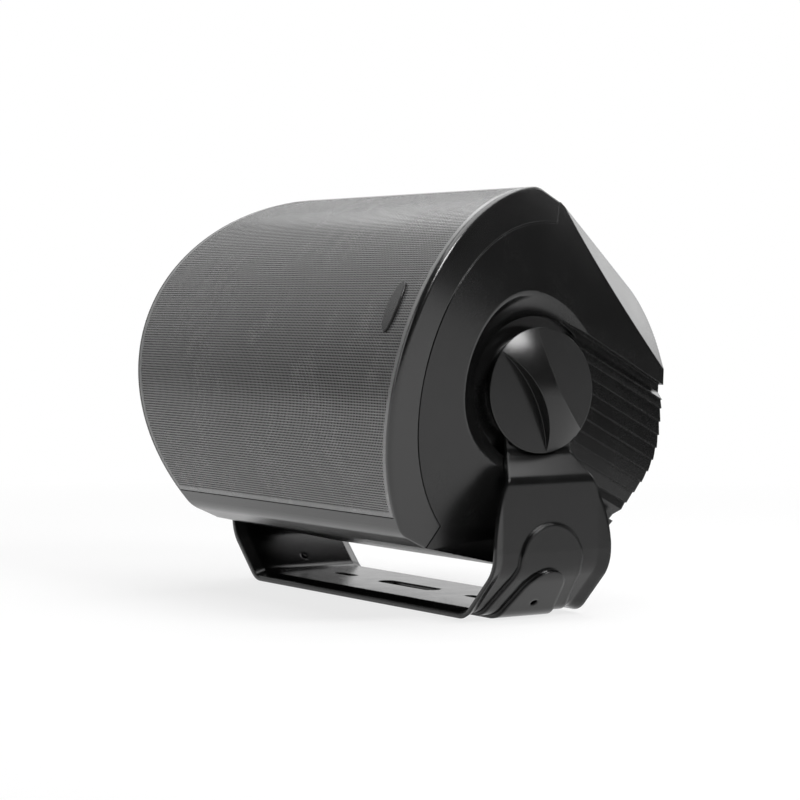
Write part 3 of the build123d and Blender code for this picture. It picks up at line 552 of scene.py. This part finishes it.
def paperFinish(name, shadowShare):
    # lit as white paper, and shown as plain white to the camera and in reflections
    material = bpy.data.materials.new(name)
    material.use_nodes = True
    tree = material.node_tree
    tree.nodes.clear()
    path = addNode(tree, "ShaderNodeLightPath").outputs
    seen = calc(tree, "MAXIMUM", path["Is Camera Ray"], path["Is Glossy Ray"])
    seen = calc(tree, "MAXIMUM", seen, path["Is Transmission Ray"])
    place = addNode(tree, "ShaderNodeTexCoord").outputs["Object"]
    if shadowShare:
        away = addNode(tree, "ShaderNodeVectorMath", {0: place}, operation="LENGTH").outputs["Value"]
        share = spread(tree, away, 1 - shadowShare, 1.0, *stageSizes["shadowReach"])
        seen = calc(tree, "MULTIPLY", seen, share)
    darker, lighter = stageSizes["white"]
    mottle = noise(tree, place, stageSizes["mottleScale"])
    tone = blendColours(tree, mottle, grey(darker), grey(lighter))
    matte = addNode(tree, "ShaderNodeBsdfDiffuse", {"Color": tone}).outputs[0]
    glow = addNode(tree, "ShaderNodeEmission", {"Color": grey(1.0), "Strength": 1.0}).outputs[0]
    mix = addNode(tree, "ShaderNodeMixShader", {0: seen, 1: matte, 2: glow}).outputs[0]
    addNode(tree, "ShaderNodeOutputMaterial", {"Surface": mix})
    return material


def addPanel(name, corners, material):
    shape = bmesh.new()
    shape.faces.new([shape.verts.new(corner) for corner in corners])
    mesh = bpy.data.meshes.new(name)
    shape.to_mesh(mesh)
    shape.free()
    mesh.materials.append(material)
    panel = bpy.data.objects.new(name, mesh)
    bpy.context.scene.collection.objects.link(panel)


def buildStage():
    half = stageSizes["floorHalf"]
    under = -stageSizes["floorDrop"]
    floorCorners = [(-half, -half, under), (half, -half, under), (half, half, under), (-half, half, under)]
    addPanel("floor", floorCorners, paperFinish("paleFloor", stageSizes["shadowShare"]))
    size = stageSizes["backdrop"]
    foot = Vector((-math.sin(size["turn"]), math.cos(size["turn"]), 0.0)) * size["away"]
    along = Vector((math.cos(size["turn"]), math.sin(size["turn"]), 0.0)) * size["width"] / 2
    top = Vector((0.0, 0.0, size["height"]))
    wallCorners = [foot + along, foot - along, foot - along + top, foot + along + top]
    addPanel("backdrop", wallCorners, paperFinish("palePaper", 0.0))


def addLamp(name, look):
    light = bpy.data.lights.new(name, "AREA")
    light.shape = "RECTANGLE"
    light.size, light.size_y = look["size"]
    light.energy = look["power"]
    lamp = bpy.data.objects.new(name, light)
    lamp.location = look["at"]
    lamp.rotation_euler = (lampAim - lamp.location).to_track_quat("-Z", "Y").to_euler()
    lamp.visible_camera = False
    bpy.context.scene.collection.objects.link(lamp)


cameraSetup = {
    "azimuth": math.radians(57.033),
    "elevation": math.radians(2.342),
    "fromPivot": (1.4032, -0.9173, 0.0576),
    "lens": 114.09,
    "sensor": 36.0,
    "clipEnd": 50.0,
}
lamps = {
    "overheadSoftbox": {"at": (0.0, 0.2, 1.4), "size": (1.4, 1.4), "power": 19.0},
    "sideSoftbox": {"at": (0.95, 0.16, 0.97), "size": (0.42, 0.42), "power": 10.0},
    "backSoftbox": {"at": (-0.45, 2.0, 0.95), "size": (1.1, 0.8), "power": 4.5},
    "rimSoftbox": {"at": (-1.64, 1.03, 1.36), "size": (1.3, 0.3), "power": 2.6},
    "frontFill": {"at": (-0.7, -1.8, 0.8), "size": (1.2, 1.2), "power": 8.0},
}
lampAim = Vector((0.0, 0.0, 0.15))
ambient = 0.04


def buildCamera():
    data = bpy.data.cameras.new("photoCamera")
    data.lens = cameraSetup["lens"]
    data.sensor_width = cameraSetup["sensor"]
    data.sensor_fit = "HORIZONTAL"
    data.clip_end = cameraSetup["clipEnd"]
    camera = bpy.data.objects.new("photoCamera", data)
    camera.location = Vector(cameraSetup["fromPivot"]) + Vector((0, 0, cabinetPose["pivotHeight"]))
    flat = math.cos(cameraSetup["elevation"])
    back = Vector((
        math.sin(cameraSetup["azimuth"]) * flat,
        -math.cos(cameraSetup["azimuth"]) * flat,
        math.sin(cameraSetup["elevation"]),
    ))
    camera.rotation_euler = (-back).to_track_quat("-Z", "Y").to_euler()
    bpy.context.scene.collection.objects.link(camera)
    bpy.context.scene.camera = camera


def buildWorld():
    # faint light from all round, and plain white where the camera looks past the backdrop
    world = bpy.data.worlds.new("studio")
    world.use_nodes = True
    tree = world.node_tree
    sky = tree.nodes["Background"].inputs
    sky["Color"].default_value = grey(1.0)
    path = addNode(tree, "ShaderNodeLightPath").outputs
    tree.links.new(calc(tree, "MAXIMUM", path["Is Camera Ray"], ambient), sky["Strength"])
    bpy.context.scene.world = world


buildStage()
for lampName, lampLook in lamps.items():
    addLamp(lampName, lampLook)
buildWorld()
buildCamera()
bpy.context.scene.view_settings.view_transform = "Standard"
print("stage, lamps and camera set")
